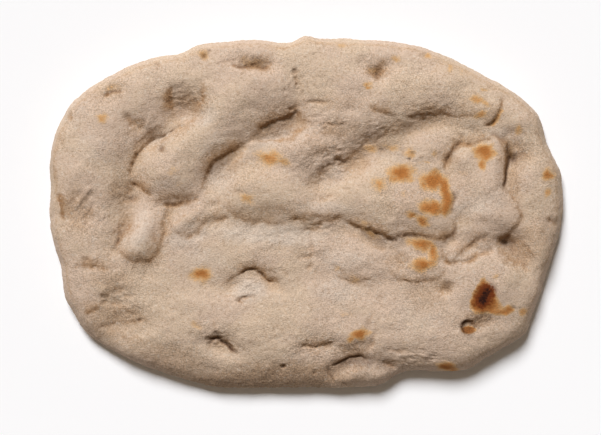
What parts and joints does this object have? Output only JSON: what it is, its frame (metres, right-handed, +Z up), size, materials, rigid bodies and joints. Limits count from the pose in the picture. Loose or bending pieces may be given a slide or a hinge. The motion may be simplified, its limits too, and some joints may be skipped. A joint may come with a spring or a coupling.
{
  "type": "pinsa base",
  "caption": "Plain baked flatbread base: an oval of hand-dimpled dough with swollen rolls, pressed valleys, a rounded rim and a flat underside.",
  "frame": {"origin": "centre of the length and width, on the flat underside", "axes": "+X along the length, towards the end that is on the right in the picture; +Y across the width, towards the picture's upper edge; +Z up, out of the dimpled top"},
  "size_m": [0.3, 0.205, 0.0234],
  "materials": {
    "crust": "matte baked crust dusted with flour, with small browned spots"
  },
  "bodies": {
    "root": {"dough": "crust"}
  },
  "joints": []
}
